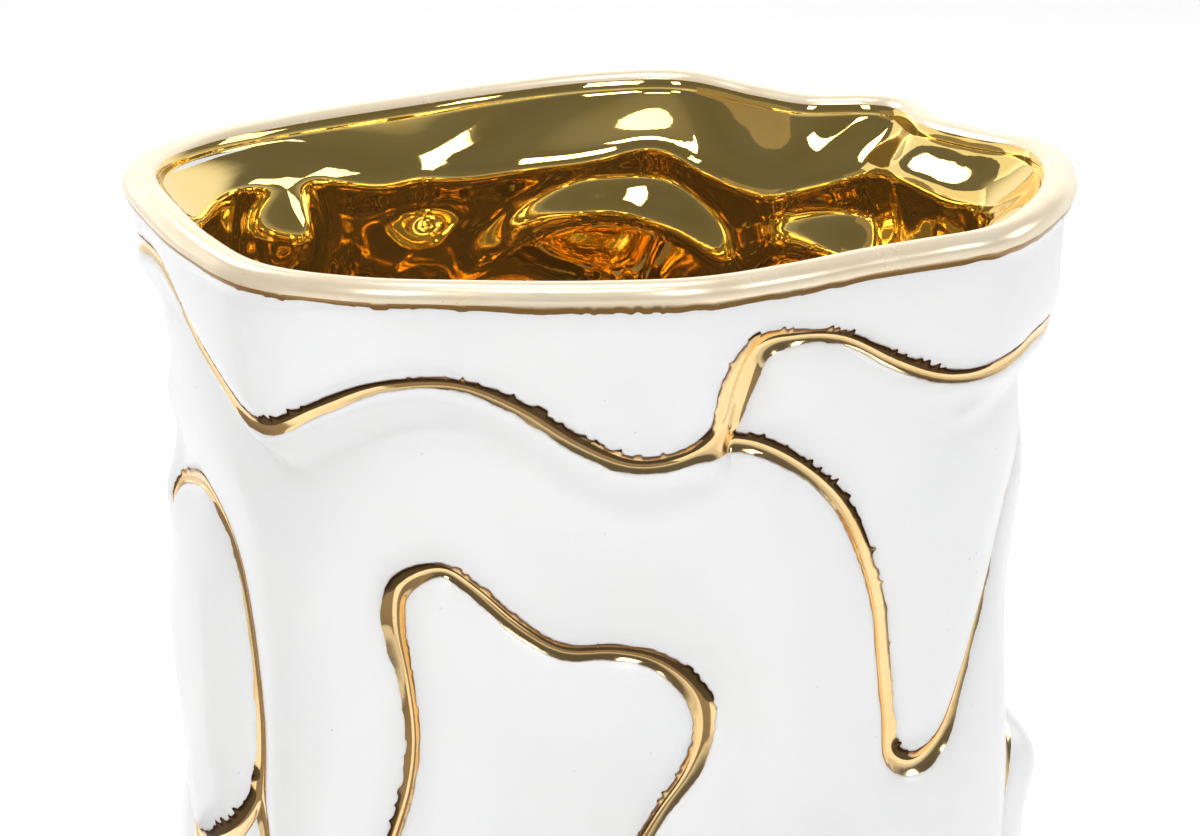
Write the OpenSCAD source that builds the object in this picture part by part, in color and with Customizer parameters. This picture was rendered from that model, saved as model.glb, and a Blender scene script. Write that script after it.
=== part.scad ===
// A tall porcelain vase with a wavy mouth. Meandering grooves run over the white
// body and are inlaid with gold; the lip and the whole inside are gilded too.
// Millimetres, +Z up. The origin is the middle of the foot on the table.
// Angles go round the vase from its front (-Y) towards its right (+X).

/* [Body] */
// Height from the table to the lip
vase_height = 270; // [230:1:320]
// Middle radius of the white body
body_radius = 75; // [72:1:84]
// Thickness of the porcelain wall
wall = 6.6; // [5.5:0.1:7.5]
// Thickness of the bottom
bottom = 9; // [7:1:14]
// How far the body swells between two gold lines
swell = 2.6; // [0:0.1:4]

/* [Foot] */
// Outer radius of the unglazed foot ring
foot_radius = 55; // [48:1:55]
// Width of the foot ring
foot_width = 8; // [5:1:12]
// Height of the foot ring
foot_height = 3; // [2:0.5:5]

/* [Gold] */
// Thickness of the gilded layers
gild = 0.5; // [0.3:0.1:1]
// How deep the gold lines are inlaid
inlay = 2; // [1.5:0.1:3]
// How far the gilding of the lip reaches down outside
lip_drop = 6; // [5:0.5:8]

/* [Hidden] */

COLUMNS = 54;              // facets round the vase
DRAWN_HEIGHT = 270;        // the height that the tables below are drawn for
DRAWN_RADIUS = 75;         // and the radius
ARC = 1.3;                 // mm along the surface for each degree
COLLAR_FALL = 11;          // height over which the collar draws in below its gold line
RISE_FROM = 200;           // height from which the body rises and falls with the lip
LIP_PROUD = 1.4;           // how far the rounded lip stands out from the collar
LIP_TUCK = 0.6;            // how far the lower edge of the lip's gilding draws in
SWELL_REACH = 10;          // distance from a gold line at which most of the swell is reached
SWELL_OUT = 0.55;          // share of the swell that stands outside the plain body
CLEAR = 3;                 // how far a cutting shape stands clear of the surface

// The mouth: angle, radius and rise of the lip
MOUTH = [
    [-180, 86.5, 0.5], [-167, 82, 0], [-150, 78, -0.3], [-130, 79, -0.2], [-110, 82, 0.8], [-88, 84.5, 2.4],
    [-70, 83.5, 1.6], [-56, 85, 0], [-42, 88, -0.9], [-30, 86.5, -0.7], [-15, 82.5, -0.3], [0, 80.5, -0.2],
    [12, 80.5, 0], [26, 77.5, 0.3], [38, 76.5, 0.6], [48, 78.5, 0.6], [56, 82.5, 0.8], [72, 84, 1.8],
    [88, 84.5, 2.3], [104, 84.5, 1.6], [116, 81, 0.4], [127, 80.5, 0], [139, 86.5, 0.2], [149, 80.5, -0.2],
    [158, 82.5, 0], [170, 89, 0.6]
];

// The body without its mouth: height and radius
PROFILE = [[3, 58], [7, 65], [16, 70], [40, 73], [80, 75], [130, 76], [180, 75.5], [230, 75], [275, 75]];

// Broad swellings and hollows: angle, height, reach and rise
BULGES = [
    [-86, 249, 8, 2.8], [-88, 229, 7, 1.6], [-86, 222, 6, -2.2], [-86, 214, 8, 2.8], [-88, 195, 19, 3],
    [-88, 166, 12, -2.4], [-90, 146, 14, 1], [88, 258, 8, -2.2], [82, 236, 9, -0.6], [84, 222, 12, 1.6],
    [92, 187, 19, -6.8], [88, 164, 9, 4.6], [172, 228, 24, 5.5]
];

// Each gold line is a list of strokes, and each stroke a list of points: angle, height
// and width. A stroke that closes on itself ends where it started.
COLLAR_EDGE = [
    [-86, 257, 2.4], [-76, 258, 2.2], [-68, 256, 2.2], [-60, 251, 2.2], [-52, 246, 2.4], [-43, 241, 2.6],
    [-35, 246, 2.6], [-27, 251, 2], [-18, 252, 2.2], [-10, 248, 2.8], [-3, 242, 3.2], [4, 238, 3],
    [11, 239, 3.2], [16, 243, 5.4], [18, 250, 7], [21, 256, 5.4], [27, 257, 2.6], [35, 255, 2.4],
    [44, 249, 2.8], [52, 245, 2.6], [61, 245, 2.4], [70, 246, 2.2], [80, 246, 2.4], [94, 249, 2.4],
    [108, 247, 2.6], [122, 252, 2.4], [138, 251, 2.6], [149, 251, 2.6], [158, 246, 2.8], [168, 252, 3],
    [178, 254, 2.6], [190, 252, 2.4], [200, 246, 2.6], [212, 243, 2.6], [222, 251, 2.4], [236, 253, 2.4],
    [250, 250, 2.2], [262, 255, 2.4], [274, 257, 2.4]
];
FRONT_TONGUE = [
    [14, 240, 3.4], [21, 239, 3.4], [28, 234, 3], [34, 227, 3], [38, 218, 3], [41, 207, 3], [42, 196, 3],
    [43, 186, 3.2], [44, 179, 4.2], [49, 176, 4.4], [55, 179, 4], [59, 186, 2.6], [64, 195, 2.4],
    [70, 204, 2.4], [75, 212, 2.4], [81, 220, 2.4], [88, 230, 2.6], [96, 240, 2.6], [104, 247, 2.6]
];
BACK_ARM = [
    [168, 252, 4], [167, 245, 4.4], [166, 236, 3.4], [162, 224, 2.8], [155, 214, 2.6], [146, 206, 2.6],
    [138, 196, 2.8], [136, 184, 3.4], [141, 174, 4.2], [149, 171, 3], [155, 179, 2.4], [161, 190, 2.4],
    [169, 198, 2.6], [179, 200, 3]
];
FRONT_ARCH = [
    [-26, 186, 2.6], [-27, 196, 3], [-29, 206, 4.8], [-28, 213, 4.4], [-22, 217, 2.6], [-17, 214, 2.6],
    [-11, 208, 2.8], [-5, 204, 2.6], [2, 204, 2.6], [8, 202, 3.2], [13, 196, 4], [14, 189, 3.8],
    [12, 182, 3.4], [8, 175, 2.6], [4, 166, 2.4], [1, 155, 2.6], [-1, 142, 2.8], [-5, 129, 3.4],
    [-12, 120, 3.6], [-21, 119, 2.8], [-29, 126, 2.4], [-33, 138, 2.4], [-32, 152, 2.6], [-30, 164, 2.6],
    [-27, 176, 2.4], [-26, 186, 2.6]
];
LEFT_LEAF = [
    [-84, 215, 2.4], [-79, 218, 2.4], [-72, 219, 2.2], [-65, 216, 2.2], [-60, 210, 2.4], [-57, 201, 2.4],
    [-55, 190, 2.6], [-54, 179, 3], [-55, 169, 3.6], [-60, 161, 4.6], [-68, 155, 4.4], [-78, 151, 3],
    [-86, 155, 2.4], [-89, 167, 2.4], [-89, 182, 2.2], [-88, 195, 2.2], [-86, 206, 2.2], [-84, 215, 2.4]
];
LEFT_STEM = [
    [-55, 170, 3.6], [-53, 160, 3], [-53, 148, 2.6], [-56, 135, 2.4], [-64, 124, 2.6], [-74, 118, 2.8],
    [-86, 116, 2.6], [-98, 120, 2.4], [-108, 128, 2.2], [-116, 138, 2]
];
RIGHT_LEAF = [
    [92, 177, 2.4], [86, 172, 2.6], [81, 164, 2.6], [77, 153, 2.6], [73, 140, 2.8], [73, 127, 3],
    [79, 117, 3.6], [89, 115, 3.2], [98, 121, 2.6], [104, 132, 2.4], [107, 146, 2.4], [105, 160, 2.4],
    [99, 172, 2.6], [92, 177, 2.4]
];
FRONT_HOOK = [
    [34, 160, 2], [27, 154, 2.6], [22, 144, 2.8], [20, 131, 2.8], [24, 119, 3.4], [33, 112, 3.8],
    [43, 114, 3], [50, 122, 2.6], [53, 133, 2.4], [51, 143, 2]
];
BACK_LEFT = [
    [-112, 232, 2.4], [-104, 226, 2.6], [-102, 214, 2.6], [-106, 202, 2.4], [-113, 192, 2.6],
    [-120, 181, 3], [-128, 174, 3.8], [-137, 178, 3.2], [-141, 190, 2.6], [-138, 203, 2.4],
    [-132, 215, 2.4], [-125, 226, 2.6], [-119, 232, 2.8], [-112, 232, 2.4]
];
BACK_MIDDLE = [
    [-160, 222, 2.6], [-152, 212, 2.6], [-151, 199, 2.4], [-155, 187, 2.6], [-158, 174, 2.6],
    [-156, 161, 2.4], [-158, 149, 2.8], [-166, 141, 3.8], [-175, 143, 3.4], [-180, 153, 2.6],
    [-178, 166, 2.4], [-174, 178, 2.4], [-173, 190, 2.6], [-174, 203, 2.6], [-172, 215, 3],
    [-167, 222, 3.2], [-160, 222, 2.6]
];
BACK_RIGHT = [
    [98, 208, 2], [103, 216, 2.6], [111, 221, 3.2], [120, 218, 3], [124, 208, 2.6], [123, 196, 2.4],
    [120, 184, 2.4], [121, 171, 2.6], [126, 160, 3.2], [135, 152, 3.4], [145, 149, 2.8], [154, 143, 2.4],
    [158, 132, 2.4], [156, 120, 2.8], [148, 112, 3.4], [138, 113, 3], [131, 121, 2.4], [128, 131, 2]
];
LOW_FRONT = [
    [-44, 98, 2.6], [-34, 94, 2.8], [-24, 86, 2.6], [-12, 84, 2.6], [0, 88, 2.6], [11, 92, 3], [20, 88, 3.6],
    [24, 78, 3.2], [21, 67, 2.6], [12, 60, 2.6], [1, 58, 2.6], [-9, 52, 2.8], [-15, 42, 3.2],
    [-24, 34, 3.6], [-35, 36, 3], [-40, 46, 2.6], [-38, 58, 2.4], [-42, 70, 2.6], [-50, 80, 3.2],
    [-51, 91, 3.2], [-44, 98, 2.6]
];
LOW_RIGHT = [
    [40, 92, 2.8], [50, 96, 2.8], [61, 92, 2.6], [71, 86, 2.6], [82, 86, 2.6], [93, 90, 2.8], [102, 86, 3.4],
    [103, 76, 3.2], [96, 68, 2.6], [86, 63, 2.6], [80, 53, 2.8], [76, 42, 3.2], [67, 33, 3.8], [56, 35, 3.2],
    [50, 45, 2.6], [50, 57, 2.4], [45, 67, 2.6], [37, 74, 3], [35, 84, 3], [40, 92, 2.8]
];
LOW_LEFT = [
    [-70, 98, 2.6], [-62, 92, 3], [-60, 82, 2.8], [-64, 71, 2.6], [-63, 59, 2.6], [-60, 47, 3],
    [-66, 36, 3.8], [-76, 33, 3.2], [-84, 40, 2.6], [-89, 51, 2.6], [-98, 58, 2.6], [-108, 64, 2.8],
    [-113, 75, 3.4], [-109, 86, 3.2], [-100, 92, 2.6], [-90, 93, 2.6], [-80, 98, 2.6], [-70, 98, 2.6]
];
LOW_BACK = [
    [-140, 112, 2.8], [-130, 108, 3], [-124, 99, 2.8], [-126, 87, 2.6], [-131, 76, 2.6], [-131, 64, 2.6],
    [-126, 52, 3], [-130, 40, 3.6], [-141, 34, 3.4], [-151, 40, 2.8], [-156, 51, 2.6], [-165, 58, 2.6],
    [-175, 62, 2.8], [-182, 71, 3.4], [-181, 83, 3.2], [-173, 90, 2.6], [-164, 94, 2.6],
    [-156, 103, 2.6], [-149, 111, 2.8], [-140, 112, 2.8]
];
LOW_BACK_RIGHT = [
    [122, 92, 2.8], [132, 94, 2.8], [142, 90, 2.6], [152, 84, 2.8], [159, 75, 3.2], [157, 64, 3.2],
    [148, 57, 2.6], [140, 48, 2.6], [134, 38, 3.2], [124, 32, 3.8], [115, 37, 3.2], [112, 48, 2.6],
    [116, 60, 2.4], [117, 71, 2.6], [114, 82, 3.2], [122, 92, 2.8]
];
COLLAR_LINES = [COLLAR_EDGE, FRONT_TONGUE, BACK_ARM];
LEFT_LINES = [LEFT_LEAF, LEFT_STEM];
ALL_LINES = concat(
    COLLAR_LINES, LEFT_LINES,
    [FRONT_ARCH, RIGHT_LEAF, FRONT_HOOK, BACK_LEFT, BACK_MIDDLE, BACK_RIGHT],
    [LOW_FRONT, LOW_RIGHT, LOW_LEFT, LOW_BACK, LOW_BACK_RIGHT]
);

// Rows of facets, as drawn heights: up the outside, and down the inside
OUTER_ROWS = [7, 16, for (z = [28 : 12 : 220]) z, 230, 238, 246, 254];
INNER_ROWS = [256, 244, 232, for (z = [216 : -20 : 36]) z, 26];
LIP_TURNS = [0, 45, 90, 135, 180];
// Rounding of the inside floor: share of the inside radius, and height over the floor
FLOOR_STEPS = [[0.94, 4], [0.8, 1], [0.45, 0]];

lip_bend = wall / 2;
tall = vase_height / DRAWN_HEIGHT;
wide = body_radius / DRAWN_RADIUS;

// Smooth curve through one column of a table whose first column rises
function curve(table, column, x, i = 0) =
    i < len(table) - 2 && x > table[i + 1][0] ? curve(table, column, x, i + 1) :
    let (
        before = table[max(i - 1, 0)],
        from = table[i],
        to = table[i + 1],
        after = table[min(i + 2, len(table) - 1)],
        step = to[0] - from[0],
        t = (x - from[0]) / step,
        leave = step * (to[column] - before[column]) / (to[0] - before[0]),
        arrive = step * (after[column] - from[column]) / (after[0] - from[0])
    )
    from[column] * (2 * t ^ 3 - 3 * t ^ 2 + 1) + to[column] * (3 * t ^ 2 - 2 * t ^ 3)
    + leave * (t ^ 3 - 2 * t ^ 2 + t) + arrive * (t ^ 3 - t ^ 2);

// A table of angles, repeated once on either side so that a curve runs on round the vase
function all_round(table) = [for (turn = [-360, 0, 360], row = table) [row[0] + turn, row[1], row[2]]];

// Shortest way round from angle b to angle a
function turn_between(a, b) = (a - b + 900) % 360 - 180;

function eased(low, high, x) = let (t = min(max((x - low) / (high - low), 0), 1)) t * t * (3 - 2 * t);

MOUTH_ROUND = all_round(MOUTH);
COLLAR_ROUND = all_round([for (i = [0 : len(COLLAR_EDGE) - 2]) COLLAR_EDGE[i]]);

// Every stretch between two neighbouring points of the gold lines
STRETCHES = [for (stroke = ALL_LINES, i = [0 : len(stroke) - 2]) [stroke[i], stroke[i + 1]]];

// Distance from a place on the body to the edge of the nearest stretch of gold
function gold_distance(angle, z, stretches) = min([
    SWELL_REACH * 4,
    for (s = stretches)
        let (
            along = turn_between(s[1][0], s[0][0]) * ARC,
            up = s[1][1] - s[0][1],
            x = turn_between(angle, s[0][0]) * ARC,
            y = z - s[0][1],
            t = min(max((x * along + y * up) / (along ^ 2 + up ^ 2), 0), 1)
        )
        norm([x - t * along, y - t * up]) - (s[0][2] + s[1][2]) / 4
]);

function near_height(z) = [
    for (s = STRETCHES) if (abs(s[0][1] - z) < SWELL_REACH * 4) s
];

// Radius of the body before it swells between the lines
function plain_radius(angle, z) =
    let (
        bulge = [
            for (b = BULGES)
                b[3] * exp(-((turn_between(angle, b[0]) * ARC) ^ 2 + (z - b[1]) ^ 2) / b[2] ^ 2)
        ],
        edge = curve(COLLAR_ROUND, 1, angle),
        flare = curve(MOUTH_ROUND, 1, angle) - DRAWN_RADIUS - LIP_PROUD
    )
    curve(PROFILE, 1, z) + bulge * [for (b = BULGES) 1] + flare * eased(edge - COLLAR_FALL, edge, z);

function body_radius_at(angle, z, stretches) =
    let (away = max(gold_distance(angle, z, stretches), 0))
    wide * (plain_radius(angle, z) + swell * (SWELL_OUT - exp(-away / SWELL_REACH)));

function lip_radius(angle) = wide * curve(MOUTH_ROUND, 1, angle);
function lip_height(angle) = vase_height + curve(MOUTH_ROUND, 2, angle);

// Where a drawn height really is: the top of the vase rises and falls with the lip
function height_at(angle, z) = z * tall + curve(MOUTH_ROUND, 2, angle) * eased(RISE_FROM, DRAWN_HEIGHT, z);

ANGLES = [for (i = [0 : COLUMNS - 1]) i * 360 / COLUMNS - 180];

// The wall's cross-section at each angle, in pieces that the parts share: [radius, height]
function outside_rows() = let (near = [for (z = OUTER_ROWS) near_height(z)]) [
    for (a = ANGLES) [
        [wide * PROFILE[0][1], foot_height],
        for (i = [0 : len(OUTER_ROWS) - 1])
            [body_radius_at(a, OUTER_ROWS[i], near[i]), height_at(a, OUTER_ROWS[i])]
    ]
];
function lip_rows() = [
    for (a = ANGLES)
        let (r = lip_radius(a) - lip_bend, z = lip_height(a) - lip_bend)
        [
            [r + lip_bend - LIP_TUCK, lip_height(a) - lip_drop],
            for (turn = LIP_TURNS) [r + lip_bend * cos(turn), z + lip_bend * sin(turn)]
        ]
];
function inside_rows() = let (near = [for (z = INNER_ROWS) near_height(z)]) [
    for (a = ANGLES)
        let (last = len(INNER_ROWS) - 1, low = wide * plain_radius(a, INNER_ROWS[last]) - wall)
        [
            for (i = [0 : last])
                [body_radius_at(a, INNER_ROWS[i], near[i]) - wall, height_at(a, INNER_ROWS[i])],
            for (f = FLOOR_STEPS) [low * f[0], foot_height + bottom + f[1]]
        ]
];

function joined(a, b) = [for (i = [0 : len(a) - 1]) concat(a[i], b[i])];

// The same line moved sideways by a thickness, to the left of its direction
function moved_line(line, thickness) = [
    for (i = [0 : len(line) - 1])
        let (
            way = line[min(i + 1, len(line) - 1)] - line[max(i - 1, 0)],
            side = [-way[1], way[0]] / norm(way)
        )
        line[i] + side * thickness
];
function backwards(line) = [for (i = [len(line) - 1 : -1 : 0]) line[i]];

// A closed solid from one cross-section for each angle. With poles, it starts and ends
// on the vase's axis at the two given heights, and otherwise the section closes on itself.
module turned(sections, poles) {
    rows = len(sections[0]);
    points = [
        for (i = [0 : COLUMNS - 1], p = sections[i]) [p[0] * sin(ANGLES[i]), -p[0] * cos(ANGLES[i]), p[1]],
        for (z = poles) [0, 0, z]
    ];
    last = len(poles) > 0 ? rows - 2 : rows - 1;
    // A facet with four corners is halved between its two outer corners, so that the
    // two faces of a thin shell are halved alike
    sides = [
        for (i = [0 : COLUMNS - 1], j = [0 : last])
            let (
                k = (i + 1) % COLUMNS,
                l = (j + 1) % rows,
                a = i * rows + j,
                b = i * rows + l,
                c = k * rows + l,
                d = k * rows + j,
                out = sections[i][j] + sections[k][l] - sections[i][l] - sections[k][j]
            )
            each out[0] + out[1] > 0 ? [[a, b, c], [a, c, d]] : [[a, b, d], [b, c, d]]
    ];
    ends = len(poles) == 0 ? [] : [
        for (i = [0 : COLUMNS - 1])
            let (a = i * rows, d = (i + 1) % COLUMNS * rows, first = COLUMNS * rows)
            each [[first, a, d], [first + 1, d + rows - 1, a + rows - 1]]
    ];
    polyhedron(points, concat(sides, ends), convexity = 12);
}

// The porcelain before the lines are cut
module blank() {
    sections = joined(joined(outside_rows(), lip_rows()), inside_rows());
    turned(sections, [foot_height, foot_height + bottom]);
}

// A stroke's direction at one of its points, along and up the surface
function heading(stroke, i) =
    let (
        last = len(stroke) - 1,
        closed = turn_between(stroke[0][0], stroke[last][0]) == 0 && stroke[0][1] == stroke[last][1],
        before = stroke[i > 0 ? i - 1 : closed ? last - 1 : 0],
        after = stroke[i < last ? i + 1 : closed ? 1 : last],
        way = [turn_between(after[0], before[0]) * ARC, after[1] - before[1]]
    )
    way / norm(way);

// The four corners of a stroke's cross-section at one of its points
function stroke_section(stroke, i) =
    let (
        point = stroke[i],
        way = heading(stroke, i),
        surface = body_radius_at(point[0], point[1], near_height(point[1]))
    )
    [
        for (side = [-1, 1], r = [surface - inlay, surface + CLEAR])
            let (
                angle = point[0] - side * way[1] * point[2] / 2 / ARC,
                z = height_at(turn_between(angle, 0), point[1] + side * way[0] * point[2] / 2)
            )
            [r * sin(angle), -r * cos(angle), z]
    ];

// The strokes of a gold line, each a chain of wedges that cut through the surface
module strokes(lines) {
    for (stroke = lines) {
        sections = [for (i = [0 : len(stroke) - 1]) stroke_section(stroke, i)];
        for (i = [0 : len(stroke) - 2])
            hull()
                polyhedron(concat(sections[i], sections[i + 1]), [[for (corner = [0 : 7]) corner]]);
    }
}

module gold_line(lines) {
    color("gold")
        intersection() {
            blank();
            strokes(lines);
        }
}

module porcelain_body() {
    color("white")
        difference() {
            blank();
            strokes(ALL_LINES);
        }
}

module foot_ring() {
    color("wheat")
        rotate_extrude($fn = 96)
            translate([foot_radius - foot_width, 0])
                square([foot_width, foot_height]);
}

// Gilding over the rounded lip
module gold_lip() {
    rows = lip_rows();
    color("gold")
        turned([for (line = rows) concat(backwards(line), moved_line(line, -gild))], []);
}

// Gilding of the whole inside, down to the middle of the floor
module gold_lining() {
    lip = lip_rows();
    inside = inside_rows();
    floor_height = foot_height + bottom;
    sections = [
        for (i = [0 : COLUMNS - 1])
            let (line = concat([lip[i][len(lip[i]) - 1]], inside[i]))
            concat(backwards(line), moved_line(line, -gild))
    ];
    color("gold")
        turned(sections, [floor_height, floor_height + gild]);
}

module gold_line_collar() { gold_line(COLLAR_LINES); }
module gold_line_front_arch() { gold_line([FRONT_ARCH]); }
module gold_line_left_leaf() { gold_line(LEFT_LINES); }
module gold_line_right_leaf() { gold_line([RIGHT_LEAF]); }
module gold_line_front_hook() { gold_line([FRONT_HOOK]); }
module gold_line_back_left() { gold_line([BACK_LEFT]); }
module gold_line_back_middle() { gold_line([BACK_MIDDLE]); }
module gold_line_back_right() { gold_line([BACK_RIGHT]); }
module gold_line_low_front() { gold_line([LOW_FRONT]); }
module gold_line_low_right() { gold_line([LOW_RIGHT]); }
module gold_line_low_left() { gold_line([LOW_LEFT]); }
module gold_line_low_back() { gold_line([LOW_BACK]); }
module gold_line_low_back_right() { gold_line([LOW_BACK_RIGHT]); }

porcelain_body();
foot_ring();
gold_lining();
gold_lip();
gold_line_collar();
gold_line_front_arch();
gold_line_left_leaf();
gold_line_right_leaf();
gold_line_front_hook();
gold_line_back_left();
gold_line_back_middle();
gold_line_back_right();
gold_line_low_front();
gold_line_low_right();
gold_line_low_left();
gold_line_low_back();
gold_line_low_back_right();
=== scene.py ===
"""White porcelain vase with gold-inlaid grooves, a gilded lip and a mirror-gold inside."""

import math

import bpy
import numpy as np
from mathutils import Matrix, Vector


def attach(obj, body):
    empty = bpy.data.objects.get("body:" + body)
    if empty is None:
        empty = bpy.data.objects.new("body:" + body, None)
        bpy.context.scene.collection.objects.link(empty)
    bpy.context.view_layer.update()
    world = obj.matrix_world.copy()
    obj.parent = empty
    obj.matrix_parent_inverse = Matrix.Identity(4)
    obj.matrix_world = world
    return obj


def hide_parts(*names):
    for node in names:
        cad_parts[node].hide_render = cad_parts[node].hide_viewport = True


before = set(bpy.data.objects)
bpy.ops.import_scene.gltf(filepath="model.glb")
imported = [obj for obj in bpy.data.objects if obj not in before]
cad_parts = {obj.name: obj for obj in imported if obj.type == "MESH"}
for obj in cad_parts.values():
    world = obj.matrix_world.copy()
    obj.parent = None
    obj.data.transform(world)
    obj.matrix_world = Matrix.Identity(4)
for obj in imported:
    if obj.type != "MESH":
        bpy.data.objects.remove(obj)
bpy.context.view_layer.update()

# ---------------------------------------------------------------- the vase's form
# Lengths are millimetres until they go into a mesh. Angles are degrees round the
# vase from its front (-Y) towards its right (+X), and heights are above the table.

HEIGHT = 270.0            # the lip's middle height
BODY = 75.0               # the body's middle radius
WALL = 6.6                # wall below the collar
BEAD = 3.2                # radius of the rounded lip
LIP_END = 142             # how far the gilding of the lip turns over it, in degrees
LIP_PROUD = 1.4           # how far the lip stands out from the collar
FOOT = 3.0                # height of the foot ring
UNDERSIDE = 58            # radius of the base's flat underside
FLOOR = 12.4              # height of the inside floor
LIFT_FROM = 200           # height above which the vase rises and falls with its lip
ARC = 1.3                 # surface length of one degree

COLUMNS = 1404            # fine grid: columns round the vase
STEP = 1.0 / 3.0          # and height between its rows
ROWS = int(HEIGHT / STEP) + 1

# angle, radius and rise of the lip
MOUTH = [
    (-180, 86.5, 0.5), (-167, 82, 0), (-150, 78, -0.3), (-130, 79, -0.2), (-110, 82, 0.8), (-88, 84.5, 2.4),
    (-70, 83.5, 1.6), (-56, 85, 0), (-42, 88, -0.9), (-30, 86.5, -0.7), (-15, 82.5, -0.3), (0, 80.5, -0.2),
    (12, 80.5, 0), (26, 77.5, 0.3), (38, 76.5, 0.6), (48, 78.5, 0.6), (56, 82.5, 0.8), (72, 84, 1.8),
    (88, 84.5, 2.3), (104, 84.5, 1.6), (116, 81, 0.4), (127, 80.5, 0), (139, 86.5, 0.2), (149, 80.5, -0.2),
    (158, 82.5, 0), (170, 89, 0.6),
]
# height and radius of the body without its mouth
PROFILE = [(3, 58), (7, 65), (16, 70), (40, 73), (80, 75), (130, 76), (180, 75.5), (230, 75), (275, 75)]
# broad swellings and hollows: angle, height, reach, rise
BULGES = [
    (-86, 249, 8, 2.8), (-88, 229, 7, 1.6), (-86, 222, 6, -2.2), (-86, 214, 8, 2.8), (-88, 195, 19, 3),
    (-88, 166, 12, -2.4), (-90, 146, 14, 1), (88, 258, 8, -2.2), (82, 236, 9, -0.6), (84, 222, 12, 1.6),
    (92, 187, 19, -6.8), (88, 164, 9, 4.6), (172, 228, 24, 5.5),
]
# bulges of the inside alone: angle, height, reach, how far it stands in
INNER_BULGES = [
    (-121, 250, 9, 6), (-151, 251, 7, -1.2), (-147, 236, 12, 1.5), (-178, 247, 10, 3), (152, 243, 9, 2.5),
    (134, 250, 8, -1.5), (115, 244, 10, 2.5),
]
# angle and height of the inside edge where the mouth begins to open
BRIM = [
    (-180, 258), (-161, 256), (-142, 257), (-125, 262), (-108, 263), (-80, 259), (-40, 255), (0, 254),
    (40, 255), (80, 258), (111, 260), (129, 261), (145, 256), (154, 253.5), (164, 255), (171, 259),
]

# strokes of the gold lines: angle, height, width; a closed stroke ends where it starts
COLLAR_EDGE = [
    (-86, 257, 2.4), (-76, 258, 2.2), (-68, 256, 2.2), (-60, 251, 2.2), (-52, 246, 2.4), (-43, 241, 2.6),
    (-35, 246, 2.6), (-27, 251, 2), (-18, 252, 2.2), (-10, 248, 2.8), (-3, 242, 3.2), (4, 238, 3),
    (11, 239, 3.2), (16, 243, 5.4), (18, 250, 7), (21, 256, 5.4), (27, 257, 2.6), (35, 255, 2.4),
    (44, 249, 2.8), (52, 245, 2.6), (61, 245, 2.4), (70, 246, 2.2), (80, 246, 2.4), (94, 249, 2.4),
    (108, 247, 2.6), (122, 252, 2.4), (138, 251, 2.6), (149, 251, 2.6), (158, 246, 2.8), (168, 252, 3),
    (178, 254, 2.6), (190, 252, 2.4), (200, 246, 2.6), (212, 243, 2.6), (222, 251, 2.4), (236, 253, 2.4),
    (250, 250, 2.2), (262, 255, 2.4), (274, 257, 2.4),
]
FRONT_TONGUE = [
    (14, 240, 3.4), (21, 239, 3.4), (28, 234, 3), (34, 227, 3), (38, 218, 3), (41, 207, 3), (42, 196, 3),
    (43, 186, 3.2), (44, 179, 4.2), (49, 176, 4.4), (55, 179, 4), (59, 186, 2.6), (64, 195, 2.4),
    (70, 204, 2.4), (75, 212, 2.4), (81, 220, 2.4), (88, 230, 2.6), (96, 240, 2.6), (104, 247, 2.6),
]
BACK_ARM = [
    (168, 252, 4), (167, 245, 4.4), (166, 236, 3.4), (162, 224, 2.8), (155, 214, 2.6), (146, 206, 2.6),
    (138, 196, 2.8), (136, 184, 3.4), (141, 174, 4.2), (149, 171, 3), (155, 179, 2.4), (161, 190, 2.4),
    (169, 198, 2.6), (179, 200, 3),
]
FRONT_ARCH = [
    (-26, 186, 2.6), (-27, 196, 3), (-29, 206, 4.8), (-28, 213, 4.4), (-22, 217, 2.6), (-17, 214, 2.6),
    (-11, 208, 2.8), (-5, 204, 2.6), (2, 204, 2.6), (8, 202, 3.2), (13, 196, 4), (14, 189, 3.8),
    (12, 182, 3.4), (8, 175, 2.6), (4, 166, 2.4), (1, 155, 2.6), (-1, 142, 2.8), (-5, 129, 3.4),
    (-12, 120, 3.6), (-21, 119, 2.8), (-29, 126, 2.4), (-33, 138, 2.4), (-32, 152, 2.6), (-30, 164, 2.6),
    (-27, 176, 2.4), (-26, 186, 2.6),
]
LEFT_LEAF = [
    (-84, 215, 2.4), (-79, 218, 2.4), (-72, 219, 2.2), (-65, 216, 2.2), (-60, 210, 2.4), (-57, 201, 2.4),
    (-55, 190, 2.6), (-54, 179, 3), (-55, 169, 3.6), (-60, 161, 4.6), (-68, 155, 4.4), (-78, 151, 3),
    (-86, 155, 2.4), (-89, 167, 2.4), (-89, 182, 2.2), (-88, 195, 2.2), (-86, 206, 2.2), (-84, 215, 2.4),
]
LEFT_STEM = [
    (-55, 170, 3.6), (-53, 160, 3), (-53, 148, 2.6), (-56, 135, 2.4), (-64, 124, 2.6), (-74, 118, 2.8),
    (-86, 116, 2.6), (-98, 120, 2.4), (-108, 128, 2.2), (-116, 138, 2),
]
RIGHT_LEAF = [
    (92, 177, 2.4), (86, 172, 2.6), (81, 164, 2.6), (77, 153, 2.6), (73, 140, 2.8), (73, 127, 3),
    (79, 117, 3.6), (89, 115, 3.2), (98, 121, 2.6), (104, 132, 2.4), (107, 146, 2.4), (105, 160, 2.4),
    (99, 172, 2.6), (92, 177, 2.4),
]
FRONT_HOOK = [
    (34, 160, 2), (27, 154, 2.6), (22, 144, 2.8), (20, 131, 2.8), (24, 119, 3.4), (33, 112, 3.8),
    (43, 114, 3), (50, 122, 2.6), (53, 133, 2.4), (51, 143, 2),
]
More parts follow.
